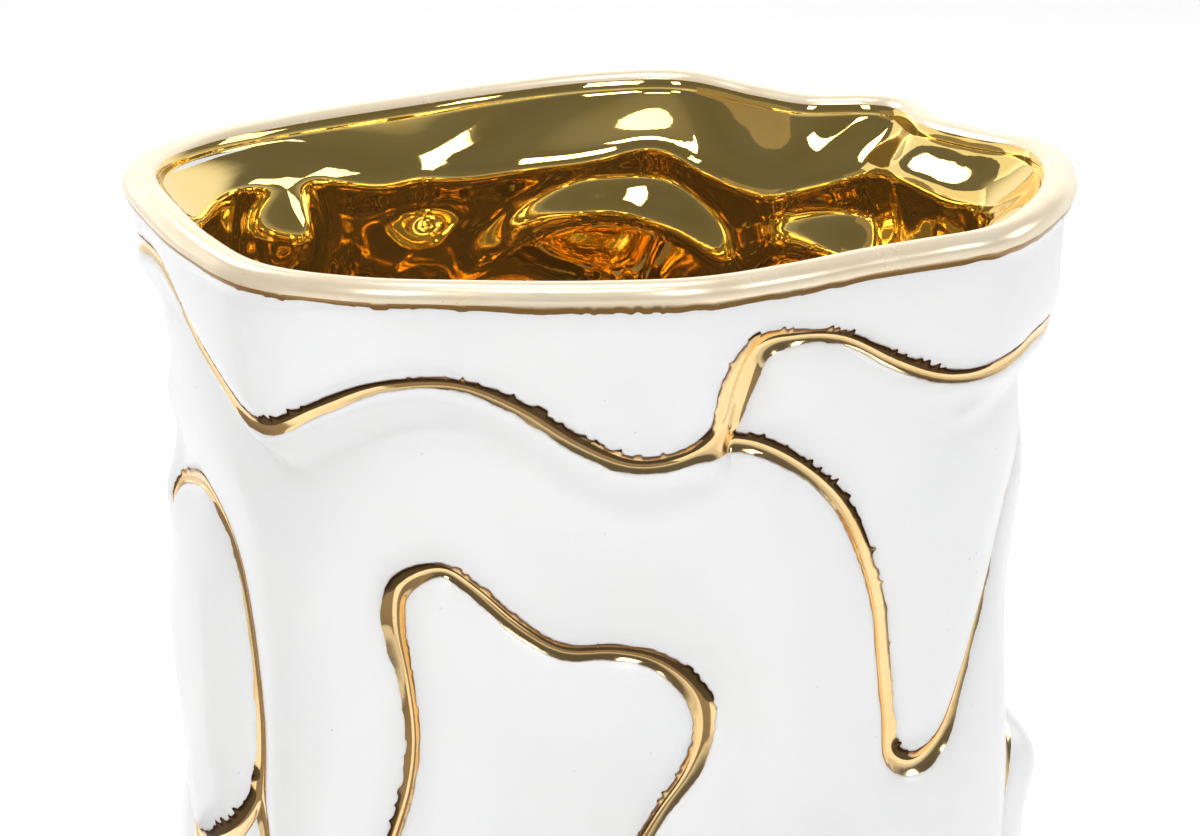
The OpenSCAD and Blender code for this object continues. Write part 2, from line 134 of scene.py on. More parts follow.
BACK_LEFT = [
    (-112, 232, 2.4), (-104, 226, 2.6), (-102, 214, 2.6), (-106, 202, 2.4), (-113, 192, 2.6),
    (-120, 181, 3), (-128, 174, 3.8), (-137, 178, 3.2), (-141, 190, 2.6), (-138, 203, 2.4),
    (-132, 215, 2.4), (-125, 226, 2.6), (-119, 232, 2.8), (-112, 232, 2.4),
]
BACK_MIDDLE = [
    (-160, 222, 2.6), (-152, 212, 2.6), (-151, 199, 2.4), (-155, 187, 2.6), (-158, 174, 2.6),
    (-156, 161, 2.4), (-158, 149, 2.8), (-166, 141, 3.8), (-175, 143, 3.4), (-180, 153, 2.6),
    (-178, 166, 2.4), (-174, 178, 2.4), (-173, 190, 2.6), (-174, 203, 2.6), (-172, 215, 3),
    (-167, 222, 3.2), (-160, 222, 2.6),
]
BACK_RIGHT = [
    (98, 208, 2), (103, 216, 2.6), (111, 221, 3.2), (120, 218, 3), (124, 208, 2.6), (123, 196, 2.4),
    (120, 184, 2.4), (121, 171, 2.6), (126, 160, 3.2), (135, 152, 3.4), (145, 149, 2.8), (154, 143, 2.4),
    (158, 132, 2.4), (156, 120, 2.8), (148, 112, 3.4), (138, 113, 3), (131, 121, 2.4), (128, 131, 2),
]
LOW_FRONT = [
    (-44, 98, 2.6), (-34, 94, 2.8), (-24, 86, 2.6), (-12, 84, 2.6), (0, 88, 2.6), (11, 92, 3), (20, 88, 3.6),
    (24, 78, 3.2), (21, 67, 2.6), (12, 60, 2.6), (1, 58, 2.6), (-9, 52, 2.8), (-15, 42, 3.2),
    (-24, 34, 3.6), (-35, 36, 3), (-40, 46, 2.6), (-38, 58, 2.4), (-42, 70, 2.6), (-50, 80, 3.2),
    (-51, 91, 3.2), (-44, 98, 2.6),
]
LOW_RIGHT = [
    (40, 92, 2.8), (50, 96, 2.8), (61, 92, 2.6), (71, 86, 2.6), (82, 86, 2.6), (93, 90, 2.8), (102, 86, 3.4),
    (103, 76, 3.2), (96, 68, 2.6), (86, 63, 2.6), (80, 53, 2.8), (76, 42, 3.2), (67, 33, 3.8), (56, 35, 3.2),
    (50, 45, 2.6), (50, 57, 2.4), (45, 67, 2.6), (37, 74, 3), (35, 84, 3), (40, 92, 2.8),
]
LOW_LEFT = [
    (-70, 98, 2.6), (-62, 92, 3), (-60, 82, 2.8), (-64, 71, 2.6), (-63, 59, 2.6), (-60, 47, 3),
    (-66, 36, 3.8), (-76, 33, 3.2), (-84, 40, 2.6), (-89, 51, 2.6), (-98, 58, 2.6), (-108, 64, 2.8),
    (-113, 75, 3.4), (-109, 86, 3.2), (-100, 92, 2.6), (-90, 93, 2.6), (-80, 98, 2.6), (-70, 98, 2.6),
]
LOW_BACK = [
    (-140, 112, 2.8), (-130, 108, 3), (-124, 99, 2.8), (-126, 87, 2.6), (-131, 76, 2.6), (-131, 64, 2.6),
    (-126, 52, 3), (-130, 40, 3.6), (-141, 34, 3.4), (-151, 40, 2.8), (-156, 51, 2.6), (-165, 58, 2.6),
    (-175, 62, 2.8), (-182, 71, 3.4), (-181, 83, 3.2), (-173, 90, 2.6), (-164, 94, 2.6),
    (-156, 103, 2.6), (-149, 111, 2.8), (-140, 112, 2.8),
]
LOW_BACK_RIGHT = [
    (122, 92, 2.8), (132, 94, 2.8), (142, 90, 2.6), (152, 84, 2.8), (159, 75, 3.2), (157, 64, 3.2),
    (148, 57, 2.6), (140, 48, 2.6), (134, 38, 3.2), (124, 32, 3.8), (115, 37, 3.2), (112, 48, 2.6),
    (116, 60, 2.4), (117, 71, 2.6), (114, 82, 3.2), (122, 92, 2.8),
]
# each line's strokes, and whether its mesh takes every column and row of the fine grid
LINES = {
    "collar": ([COLLAR_EDGE, FRONT_TONGUE, BACK_ARM], 1),
    "front_arch": ([FRONT_ARCH], 1),
    "left_leaf": ([LEFT_LEAF, LEFT_STEM], 1),
    "right_leaf": ([RIGHT_LEAF], 1),
    "front_hook": ([FRONT_HOOK], 2),
    "back_left": ([BACK_LEFT], 2),
    "back_middle": ([BACK_MIDDLE], 2),
    "back_right": ([BACK_RIGHT], 2),
    "low_front": ([LOW_FRONT], 2),
    "low_right": ([LOW_RIGHT], 2),
    "low_left": ([LOW_LEFT], 2),
    "low_back": ([LOW_BACK], 2),
    "low_back_right": ([LOW_BACK_RIGHT], 2),
}


# ---------------------------------------------------------------- curves and noise
def eased(low, high, x):
    """0 at low and 1 at high, with a smooth rise between them."""
    t = np.clip((x - low) / (high - low), 0, 1)
    return t * t * (3 - 2 * t)


def curve(table, column, x):
    """Smooth curve through one column of a table whose first column rises."""
    rows = np.array([(row[0], row[column]) for row in table], float)
    keys, values = rows[:, 0], rows[:, 1]
    slopes = np.gradient(values, keys)
    i = np.clip(np.searchsorted(keys, x, side="right") - 1, 0, len(keys) - 2)
    step = keys[i + 1] - keys[i]
    t = (x - keys[i]) / step
    return (
        values[i] * (2 * t**3 - 3 * t**2 + 1)
        + values[i + 1] * (3 * t**2 - 2 * t**3)
        + step * slopes[i] * (t**3 - 2 * t**2 + t)
        + step * slopes[i + 1] * (t**3 - t**2)
    )


def all_round(table):
    """A table of angles repeated on both sides, so that a curve runs on round the vase."""
    return [(row[0] + turn,) + tuple(row[1:]) for turn in (-360, 0, 360) for row in table]


def turn_between(a, b):
    """Angle from b to a, from -180 to 180 degrees."""
    return (a - b + 180) % 360 - 180


def wander(s, size, seed):
    """Smooth noise from -1 to 1 along a length, with bumps about size long."""
    count = 4096
    values = np.random.default_rng(seed).uniform(-1, 1, count)
    x = np.asarray(s) / size
    i = np.floor(x).astype(int)
    t = x - i
    t = t * t * (3 - 2 * t)
    return values[i % count] * (1 - t) + values[(i + 1) % count] * t


def blurred(field, reach):
    """A field of the whole grid softened over about reach millimetres."""
    n = max(int(reach / STEP / 2), 1)
    for _ in range(3):
        for axis in (0, 1):
            mode = "edge" if axis == 0 else "wrap"
            pad = [(0, 0), (0, 0)]
            pad[axis] = (n + 1, n)
            total = np.cumsum(np.pad(field, pad, mode=mode), axis=axis)
            high = np.take(total, np.arange(2 * n + 1, total.shape[axis]), axis=axis)
            low = np.take(total, np.arange(0, total.shape[axis] - 2 * n - 1), axis=axis)
            field = (high - low) / (2 * n + 1)
    return field


# ---------------------------------------------------------------- distance to the lines
def stroke_path(stroke, pieces=4):
    """A stroke as a smooth chain of points: angle, height, half width, length so far."""
    points = np.array(stroke, float)
    closed = turn_between(points[0, 0], points[-1, 0]) == 0 and points[0, 1] == points[-1, 1]
    if closed:
        before, after = points[-2].copy(), points[1].copy()
        before[0] += 360 * round((points[0, 0] - before[0]) / 360)
        after[0] += 360 * round((points[-1, 0] - after[0]) / 360)
    else:
        before, after = 2 * points[0] - points[1], 2 * points[-1] - points[-2]
    p = np.vstack([before, points, after])
    t = (np.arange(pieces) / pieces)[:, None]
    chain = [
        0.5 * (2 * b + (c - a) * t + (2 * a - 5 * b + 4 * c - d) * t**2 + (3 * b - a - 3 * c + d) * t**3)
        for a, b, c, d in zip(p[:-3], p[1:-2], p[2:-1], p[3:])
    ]
    chain = np.vstack(chain + [points[-1:]])
    steps = np.hypot(np.diff(chain[:, 0]) * ARC, np.diff(chain[:, 1]))
    length = np.concatenate([[0], np.cumsum(steps)])
    return np.column_stack([chain[:, 0], chain[:, 1], chain[:, 2] / 2, length])


def stroke_field(stroke, reach):
    """Over the fine grid: distance to the stroke's edge, its half width there, how far
    along the stroke that is, and whether the place is above (1) or below (-1) it."""
    edge = np.full((ROWS, COLUMNS), reach, np.float32)
    half = np.ones((ROWS, COLUMNS), np.float32)
    along = np.zeros((ROWS, COLUMNS), np.float32)
    above = np.zeros((ROWS, COLUMNS), np.float32)
    path = stroke_path(stroke)
    per_column = 360.0 / COLUMNS
    for p, q in zip(path[:-1], path[1:]):
        dx, dy = (q[0] - p[0]) * ARC, q[1] - p[1]
        rows = np.arange(
            max(int((min(p[1], q[1]) - reach) / STEP), 0),
            min(int((max(p[1], q[1]) + reach) / STEP) + 2, ROWS),
        )
        span = reach / ARC
        first = math.floor((min(p[0], q[0]) - span + 180) / per_column)
        last = math.ceil((max(p[0], q[0]) + span + 180) / per_column)
        wide = np.arange(first, min(last + 1, first + COLUMNS))
        x = ((wide * per_column - 180) - p[0])[None, :] * ARC
        y = (rows * STEP - p[1])[:, None]
        t = np.clip((x * dx + y * dy) / (dx * dx + dy * dy), 0, 1)
        away_x, away_y = x - t * dx, y - t * dy
        distance = np.hypot(away_x, away_y)
        h = p[2] + (q[2] - p[2]) * t
        e = distance - h
        where = np.ix_(rows, wide % COLUMNS)
        nearer = e < edge[where]
        edge[where] = np.where(nearer, e, edge[where])
        half[where] = np.where(nearer, h, half[where])
        along[where] = np.where(nearer, p[3] + (q[3] - p[3]) * t, along[where])
        above[where] = np.where(nearer, away_y / np.maximum(distance, 0.05), above[where])
    return edge, half, along, above


def line_field(strokes, reach):
    """The same for all strokes of one line, with filled corners where they meet."""
    web = 2.0                 # size of the filling
    apart = 997               # added along each further stroke, so that their edges differ
    edge, half, along, above = stroke_field(strokes[0], reach)
    for number, stroke in enumerate(strokes[1:], 1):
        e, h, s, a = stroke_field(stroke, reach)
        nearer = e < edge
        half = np.where(nearer, h, half)
        along = np.where(nearer, s + apart * number, along)
        above = np.where(nearer, a, above)
        overlap = np.clip(0.5 + 0.5 * (e - edge) / web, 0, 1)
        edge = e + (edge - e) * overlap - web * overlap * (1 - overlap)
    return edge, half, along, above


# ---------------------------------------------------------------- surfaces of the vase
ANGLES = np.arange(COLUMNS) * 360.0 / COLUMNS - 180
HEIGHTS = np.arange(ROWS) * STEP
LIP_RADIUS = curve(all_round(MOUTH), 1, ANGLES)
LIP_RISE = curve(all_round(MOUTH), 2, ANGLES)
COLLAR_HEIGHT = curve(all_round(COLLAR_EDGE[:-1]), 1, ANGLES)


def swollen(bulges):
    """Rise of a table of swellings and hollows over the fine grid."""
    field = np.zeros((ROWS, COLUMNS))
    for angle, height, reach, rise in bulges:
        x = turn_between(ANGLES, angle)[None, :] * ARC
        y = (HEIGHTS - height)[:, None]
        field += rise * np.exp(-(x * x + y * y) / reach**2)
    return field


def nearest_line(reach):
    """Over the fine grid: distance to the nearest line's edge, and its half width there."""
    edge = np.full((ROWS, COLUMNS), reach, np.float32)
    half = np.ones((ROWS, COLUMNS), np.float32)
    for strokes, _ in LINES.values():
        e, h, _, _ = line_field(strokes, reach)
        half = np.where(e < edge, h, half)
        edge = np.minimum(edge, e)
    return edge, half


def pillow_field(away, on_collar):
    """Pillows between the lines, with faint rings that follow them, lower on the collar."""
    swell, swell_reach = 2.8, 10
    ring, ring_apart, ring_from, ring_reach = 0.30, 13, 6, 45
    sunk, on_collar_less = 1.3, 0.6
    swells = swell * (1 - np.exp(-away / swell_reach))
    waves = ring * np.cos(away * 2 * math.pi / ring_apart)
    rings = waves * (1 - np.exp(-away / ring_from)) * np.exp(-away / ring_reach)
    pillows = blurred((swells + rings) * (1 - on_collar_less * on_collar), 4.0)
    return pillows - sunk + on_collar_less * on_collar


def groove_field(edge, half, away):
    """The shoulder that rolls into a groove, and the groove's bowl under the gold."""
    depth, shoulder, bowl = 1.2, 1.9, 0.45
    inside_line = np.clip((edge + half) / half, 0, 1)
    shoulders = -depth * np.exp(-away / shoulder)
    bowls = -depth - bowl * half * (1 - inside_line**2)
    return blurred(np.where(edge > 0, shoulders, bowls), 0.7)


def make_surfaces():
    """Over the fine grid: radius of the outside and the inside, and distance to a line."""
    edge, half = nearest_line(30.0)
    z = HEIGHTS[:, None]
    collar = COLLAR_HEIGHT[None, :]
    away = np.maximum(edge, 0)
    pillows = pillow_field(away, eased(collar - 1, collar + 3, z))
    groove = groove_field(edge, half, away)

    # the outside: the collar flares to the lip, and its top edge and base stay smooth
    plain = curve(PROFILE, 1, HEIGHTS)[:, None] + swollen(BULGES)
    keep = eased(HEIGHT - 1, HEIGHT - 9, z) * eased(8, 24, z)
    flare = eased(collar - 11, collar, z) * (LIP_RADIUS - LIP_PROUD - BODY)
    bead = LIP_PROUD * eased(HEIGHT - 2 * BEAD, HEIGHT - BEAD, z)
    outside = plain + flare + bead * eased(collar + 2, collar + 6, z) + keep * (pillows + groove)

    # the inside follows the outside loosely, with broad ridges behind the grooves, and has
    # a ledge where the mouth begins to open
    brim = curve(all_round(BRIM), 1, ANGLES)[None, :]
    brim_round, ledge_depth, ridge_height, pillow_share, flare_share = 1.5, 1.4, 1.8, 1.6, 0.45
    rise = (z - brim + np.sqrt((z - brim) ** 2 + brim_round**2)) / 2
    funnel = np.minimum(rise / (HEIGHT - BEAD - brim), 1)
    ledge = ledge_depth * np.exp(-((z - brim + 1) / 4) ** 2)
    ridge = ridge_height * np.exp(-(np.maximum(edge + 1.3, 0) / 5) ** 2)
    loose = blurred((pillow_share * pillows - ridge) * eased(brim + 2, brim - 6, z), 12.0) - ledge
    keep_inside = eased(HEIGHT - BEAD, HEIGHT - 9, z) * eased(20, 36, z)
    inner_plain = plain - WALL + flare_share * flare - swollen(INNER_BULGES)
    inside = inner_plain + funnel * (LIP_RADIUS - 2 * BEAD - inner_plain) + keep_inside * loose
    return outside, inside, edge


OUTSIDE, INSIDE, EDGE = make_surfaces()


def lifted(rise, z):
    """Real height of a drawn height: the top of the vase rises and falls with the lip."""
    return z + rise * eased(LIFT_FROM, HEIGHT, z)


def place(angles, radius, z):
    """Points in metres."""
    turn = np.radians(angles)
    x = radius * np.sin(turn)
    y = -radius * np.cos(turn)
    return np.stack([x, y, np.broadcast_to(z, x.shape)], axis=-1) / 1000


# ---------------------------------------------------------------- meshes
def new_piece(name, points, quads, tris, material, crease=40, rim=None):
    """A mesh object from arrays, shaded smooth but for its sharp edges."""
    quads = np.asarray(quads, np.int32).reshape(-1, 4)
    tris = np.asarray(tris, np.int32).reshape(-1, 3)
    mesh = bpy.data.meshes.new(name)
    mesh.vertices.add(len(points))
    mesh.vertices.foreach_set("co", np.asarray(points, np.float32).ravel())
    loops = np.concatenate([quads.ravel(), tris.ravel()])
    mesh.loops.add(len(loops))
    mesh.loops.foreach_set("vertex_index", loops)
    starts = np.concatenate([
        np.arange(len(quads)) * 4,
        len(quads) * 4 + np.arange(len(tris)) * 3,
    ])
    mesh.polygons.add(len(starts))
    mesh.polygons.foreach_set("loop_start", starts.astype(np.int32))
    mesh.update(calc_edges=True)
    mesh.validate()
    mesh.polygons.foreach_set("use_smooth", np.ones(len(mesh.polygons), bool))
    mesh.set_sharp_from_angle(angle=math.radians(crease))
    if rim is not None:
        layer = mesh.attributes.new("rim", "FLOAT", "POINT")
        layer.data.foreach_set("value", np.asarray(rim, np.float32))
    mesh.materials.append(material)
    piece = bpy.data.objects.new(name, mesh)
    bpy.context.scene.collection.objects.link(piece)
    return piece


def ring_quads(rows, columns, first=0, closed=False):
    """Quads of a grid that closes round the vase; with closed, its rows close too."""
    last = rows if closed else rows - 1
    r = np.arange(last)[:, None]
    c = np.arange(columns)[None, :]
    up, on = (r + 1) % rows, (c + 1) % columns
    a, b = r * columns + c, r * columns + on
    d, e = up * columns + on, up * columns + c
    return (np.stack([a, b, d, e], axis=-1) + first).reshape(-1, 4)


def fan(row_start, columns, pole, up):
    """Triangles from one row of a ring grid to a point on the axis."""
    c = np.arange(columns)
    on = (c + 1) % columns
    sides = (row_start + c, row_start + on) if up else (row_start + on, row_start + c)
    return np.stack([sides[0], sides[1], np.full(columns, pole)], axis=-1)


def finish_piece(piece, slot, *nodes):
    """The piece rides the one body and stands for its nodes. Its slot is not used."""
    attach(piece, "root")
    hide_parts(*nodes)
    return piece


def bead_point(columns, turn, inset=0.0):
    """Radius and height on the rounded lip; turn is 0 outside, 90 on top, 180 inside."""
    r = LIP_RADIUS[columns] - BEAD + (BEAD - inset) * math.cos(math.radians(turn))
    z = HEIGHT + LIP_RISE[columns] - BEAD + (BEAD - inset) * math.sin(math.radians(turn))
    return r, z


def make_porcelain(material):
    """The body: one closed skin from under the foot, up the outside and down the inside."""
    bed = 0.55                # how far the porcelain lies under the middle of a gold line
    inset = 0.45              # and under the gilding of the lip
    inset_inside = 0.6        # and how much further under the gilding of the inside
    coarse_below = 148        # height below which the rows lie wider apart
    columns = np.arange(0, COLUMNS, 3)
    angles = ANGLES[columns]
    outside = OUTSIDE - bed * eased(0.1, -0.5, EDGE)
    low = np.arange(round(7 / STEP), round(coarse_below / STEP), 5)
    high = np.arange(round(coarse_below / STEP), round((HEIGHT - BEAD) / STEP) + 1, 3)
    rows = []
    for share in (0.35, 0.7, 0.86):
        rows.append(place(angles, UNDERSIDE * share, FOOT))
    for rise, out in ((0, 0), (0.35, 1.9), (1.3, 4), (2.6, 5.7)):
        rows.append(place(angles, UNDERSIDE + out, FOOT + rise))
    for row in np.concatenate([low, high]):
        z = HEIGHTS[row]
        rows.append(place(angles, outside[row, columns], lifted(LIP_RISE[columns], z)))
    for turn in (10, 35, 60, 90, 120, 145, 170):
        r, z = bead_point(columns, turn, inset)
        rows.append(place(angles, r, z))
    for z in (264, 260, 255, 250, 245, 240, 234, 227, 218, 206, 192, 175, 155, 130, 100, 65, 35):
        radius = INSIDE[round(z / STEP), columns] + inset + inset_inside
        rows.append(place(angles, radius, lifted(LIP_RISE[columns], z)))
    floor_radius = INSIDE[round(35 / STEP), columns]
    for share, height in ((0.97, 20), (0.9, FLOOR + 1.5), (0.75, FLOOR - 0.6), (0.4, FLOOR - 0.8)):
        rows.append(place(angles, floor_radius * share, height))
    count = len(columns)
    points = np.concatenate(rows + [[[0, 0, FOOT / 1000]], [[0, 0, (FLOOR - 0.8) / 1000]]])
    quads = ring_quads(len(rows), count)
    under, middle = len(points) - 2, len(points) - 1
    tris = np.concatenate([fan(0, count, under, False), fan((len(rows) - 1) * count, count, middle, True)])
    piece = new_piece("vase_porcelain", points, quads, tris, material, crease=70)
    return finish_piece(piece, "porcelain", "porcelain_body")


def upper_share(above):
    """1 on the upper edge of a line, 0 on its lower edge: the upper edge gets more ragged teeth, and painted
    shade as a dark fringe.
    """
    return eased(-0.2, 0.6, above)


def ragged(along, above, seed):
    """How far the painted gold strays over the edge of its groove."""
    slow = 0.18 * wander(along, 3.1, seed)
    often = eased(-0.8, 0.1, wander(along, 8, seed + 2))
    teeth = np.maximum(wander(along, 0.8, seed + 1), 0) ** 1.1 * often
    return slow + (0.12 + 0.9 * upper_share(above)) * teeth - 0.05


def next_column(table):
    """A grid table moved so that each place holds its neighbour's value, round the vase."""
    return np.roll(table, -1, axis=1)


def next_row(table):
    """The same upwards; the top row keeps its own values."""
    return np.vstack([table[1:], table[-1:]])


def sampled(table, at_r, at_c):
    """A grid table's values at places between its rows and columns."""
    rows, columns = table.shape
    r0, c0 = np.floor(at_r).astype(int), np.floor(at_c).astype(int)
    fr, fc = at_r - r0, at_c - c0
    r1, c1 = np.minimum(r0 + 1, rows - 1), (c0 + 1) % columns
    c0 = c0 % columns
    low = table[r0, c0] * (1 - fc) + table[r0, c1] * fc
    high = table[r1, c0] * (1 - fc) + table[r1, c1] * fc
    return low * (1 - fr) + high * fr


def cut_out(field):
    """The part of a grid where a field is below 0: rows and columns of its points, its
    triangles, and the pairs of points along its rim."""
    near, far = 0.12, 0.88    # where the rim may cross between two grid points
    inside = field < 0
    ids, points_r, points_c = {}, [], []

    def number(mask, key, r_offset, c_offset):
        where = np.nonzero(mask)
        start = sum(len(p) for p in points_r)
        table = np.full(mask.shape, -1, np.int64)
        table[where] = start + np.arange(len(where[0]))
        ids[key] = table
        points_r.append(where[0] + (r_offset[where] if r_offset is not None else 0.0))
        points_c.append(where[1] + (c_offset[where] if c_offset is not None else 0.0))

    right = next_column(field)
    upper = next_row(field)
    number(inside, "node", None, None)
    cross = np.clip(field / np.where(field == right, 1, field - right), near, far)
    number(inside != (right < 0), "side", None, cross)
    cross = np.clip(field / np.where(field == upper, 1, field - upper), near, far)
    number(inside != (upper < 0), "rise", cross, None)

    # corners and edges of each cell, in order round it
    node, side, rise = ids["node"], ids["side"], ids["rise"]
    corners = [node, next_column(node), next_row(next_column(node)), next_row(node)]
    edges = [side, next_column(rise), next_row(side), rise]
    state = [inside, next_column(inside), next_row(next_column(inside)), next_row(inside)]
    code = sum(s.astype(int) << i for i, s in enumerate(state))
    code[-1] = 0
    tops, rims = [], []
    for kind in range(1, 16):
        cells = np.nonzero(code == kind)
        if not len(cells[0]):
            continue
        walk = []
        for i in range(4):
            here, there = kind >> i & 1, kind >> (i + 1) % 4 & 1
            if here:
                walk.append((corners[i][cells], False))
            if here != there:
                walk.append((edges[i][cells], bool(here)))
        for i in range(1, len(walk) - 1):
            tops.append(np.stack([walk[0][0], walk[i][0], walk[i + 1][0]], axis=-1))
        for i, (here, leaving) in enumerate(walk):
            if leaving:
                rims.append(np.stack([here, walk[(i + 1) % len(walk)][0]], axis=-1))
    return [np.concatenate(parts) for parts in (points_r, points_c, tops, rims)]


def make_line(name, strokes, stride, seed, material):
    """One gold line: the part of the surface inside its ragged edge, as a slim shell."""
    proud, depth = 0.13, 0.80
    lower_edge_lift = 0.9             # added to the rim value on a line's lower edge, so that the painted shade of the dark fringe lies only along its upper edge
    edge, _, along, above = line_field(strokes, 6.0)
    gold = (edge - ragged(along, above, seed))[::stride, ::stride]
    at_r, at_c, tops, rims = cut_out(gold.astype(float))

    radius = sampled(OUTSIDE[::stride, ::stride], at_r, at_c)
    rise = sampled(np.broadcast_to(LIP_RISE[::stride], gold.shape), at_r, at_c)
    angle = ANGLES[0] + at_c * (ANGLES[stride] - ANGLES[0])
    z = lifted(rise, at_r * (HEIGHTS[stride] - HEIGHTS[0]))
    top = place(angle, radius + proud, z)
    bottom = place(angle, radius - depth, z)
    n = len(top)
    walls = np.stack([rims[:, 1], rims[:, 0], rims[:, 0] + n, rims[:, 1] + n], axis=-1)
    faces = np.concatenate([tops, tops[:, ::-1] + n])
    # rim: depth inside the gold's edge, raised on the lower edge; the material paints shade as a dark fringe
    # where it is small, so the painted shade lies only along the upper edge
    on_upper_edge = upper_share(sampled(above[::stride, ::stride], at_r, at_c))
    rim = np.clip(-sampled(gold, at_r, at_c) + lower_edge_lift - lower_edge_lift * on_upper_edge, 0, 2)
    piece = new_piece(
        "gold_line_" + name, np.concatenate([top, bottom]), walls, faces, material,
        crease=50, rim=np.concatenate([rim, rim]),
    )
    return finish_piece(piece, "gold_line", "gold_line_" + name)


def make_lip(material):
    """Gilding over the rounded lip, with a ragged painted edge outside."""
    columns = np.arange(COLUMNS)
    lip_radius = 84
    along = ANGLES * lip_radius * math.pi / 180
    drop = 4.5 + 0.35 * np.sin(np.radians(ANGLES * 3 + 40)) + 0.3 * wander(along, 14, 61)
    teeth = np.maximum(wander(along, 1.1, 62), 0) ** 1.3 * eased(-0.4, 0.5, wander(along, 12, 63))
    drop = drop + 0.2 * wander(along, 3.4, 64) + 0.6 * teeth
    lower = HEIGHT - drop
    upper = HEIGHT - BEAD
    top_rows, bottom_rows, rims = [], [], []
    proud, depth = 0.12, 0.3
    for share in (0, 0.08, 0.2, 0.4, 0.6, 0.8):
        z = lower + (upper - lower) * share
        row = z / STEP
        r0 = np.clip(np.floor(row).astype(int), 0, ROWS - 2)
        t = row - r0
        radius = OUTSIDE[r0, columns] * (1 - t) + OUTSIDE[r0 + 1, columns] * t
        height = lifted(LIP_RISE[columns], z)
        top_rows.append(place(ANGLES, radius + proud, height))
        bottom_rows.append(place(ANGLES, radius - depth, height))
        # rim: height above the gilding's ragged lower edge; the material paints shade as a dark strip where
        # it is small, below the bead
        rims.append((upper - lower) * share)
    for turn in np.linspace(0, LIP_END, 18):
        r, z = bead_point(columns, turn, -proud)
        top_rows.append(place(ANGLES, r, z))
        r, z = bead_point(columns, turn, depth)
        bottom_rows.append(place(ANGLES, r, z))
        rims.append(np.full(COLUMNS, 2.0))
    rows = top_rows + bottom_rows[::-1]
    rim = np.concatenate(rims + rims[::-1])
    piece = new_piece(
        "gold_lip", np.concatenate(rows), ring_quads(len(rows), COLUMNS, closed=True), [], material,
        crease=60, rim=np.clip(rim, 0, 2),
    )
    return finish_piece(piece, "gold_lip", "gold_lip")


def make_lining(material):
    """Gilding of the inside, from under the lip's edge to the middle of the floor."""
    thickness = 0.3
    corner = 18               # width of the round corner between wall and floor
    columns = np.arange(0, COLUMNS, 4)
    angles = ANGLES[columns]
    heights = np.concatenate([
        np.arange(HEIGHT - BEAD - 0.5, 226, -1.0), np.arange(226, 150, -2.0), np.arange(150, 33, -4.0)
    ])
    front, back = [], []
    for turn in (LIP_END - 2, 150, 158, 166, 173, 180):
        r, z = bead_point(columns, turn)
        front.append(place(angles, r, z))
        r, z = bead_point(columns, turn, thickness)
        back.append(place(angles, r, z))
    for z in heights:
        radius = INSIDE[min(round(z / STEP), ROWS - 1), columns]
        front.append(place(angles, radius, lifted(LIP_RISE[columns], z)))
        back.append(place(angles, radius + thickness, lifted(LIP_RISE[columns], z)))
    last = INSIDE[round(heights[-1] / STEP), columns]
    turn_height = heights[-1] - FLOOR
    for turn in (12, 25, 38, 50, 62, 74, 90):
        bend = math.radians(turn)
        radius = last - corner * (1 - math.cos(bend))
        z = FLOOR + turn_height * (1 - math.sin(bend))
        front.append(place(angles, radius, z))
        back.append(place(angles, radius + thickness * math.cos(bend), z - thickness * math.sin(bend)))
    for share in (0.66, 0.33, 0.1):
        front.append(place(angles, (last - corner) * share, FLOOR))
        back.append(place(angles, (last - corner) * share, FLOOR - thickness))
    rows = front[::-1] + back
    count = len(columns)
    points = np.concatenate(rows + [[[0, 0, FLOOR / 1000]], [[0, 0, (FLOOR - thickness) / 1000]]])
    middle, under = len(points) - 2, len(points) - 1
    quads = ring_quads(len(rows), count)[:, ::-1]
    tris = np.concatenate([
        fan(0, count, middle, True),
        fan((len(rows) - 1) * count, count, under, False),
    ])
    piece = new_piece("gold_lining", points, quads, tris, material, crease=60)
    return finish_piece(piece, "gold_mirror", "gold_lining")


def make_foot(material):
    """The unglazed foot ring, with worn round edges."""
    sides = 180
    angles = np.arange(sides) * 360.0 / sides
    outer, inner, height = 55.0, 47.0, FOOT
    section = [
        (inner, height), (inner, 1.2), (inner + 0.3, 0.5), (inner + 0.9, 0.1), (inner + 1.6, 0),
        ((inner + outer) / 2, 0), (outer - 1.6, 0), (outer - 0.9, 0.1), (outer - 0.3, 0.5), (outer, 1.2),
        (outer, height), ((inner + outer) / 2, height),
    ]
    rows = [place(angles, np.full(sides, float(r)), z) for r, z in section]
    piece = new_piece(
        "foot_ring_bisque", np.concatenate(rows), ring_quads(len(rows), sides, closed=True), [], material
    )
    return finish_piece(piece, "bisque", "foot_ring")


# ---------------------------------------------------------------- materials
def new_material(name, **sockets):
    material = bpy.data.materials.new(name)
    material.use_nodes = True
    shader = material.node_tree.nodes["Principled BSDF"]
    for socket, value in sockets.items():
        shader.inputs[socket.replace("_", " ")].default_value = value
    return material


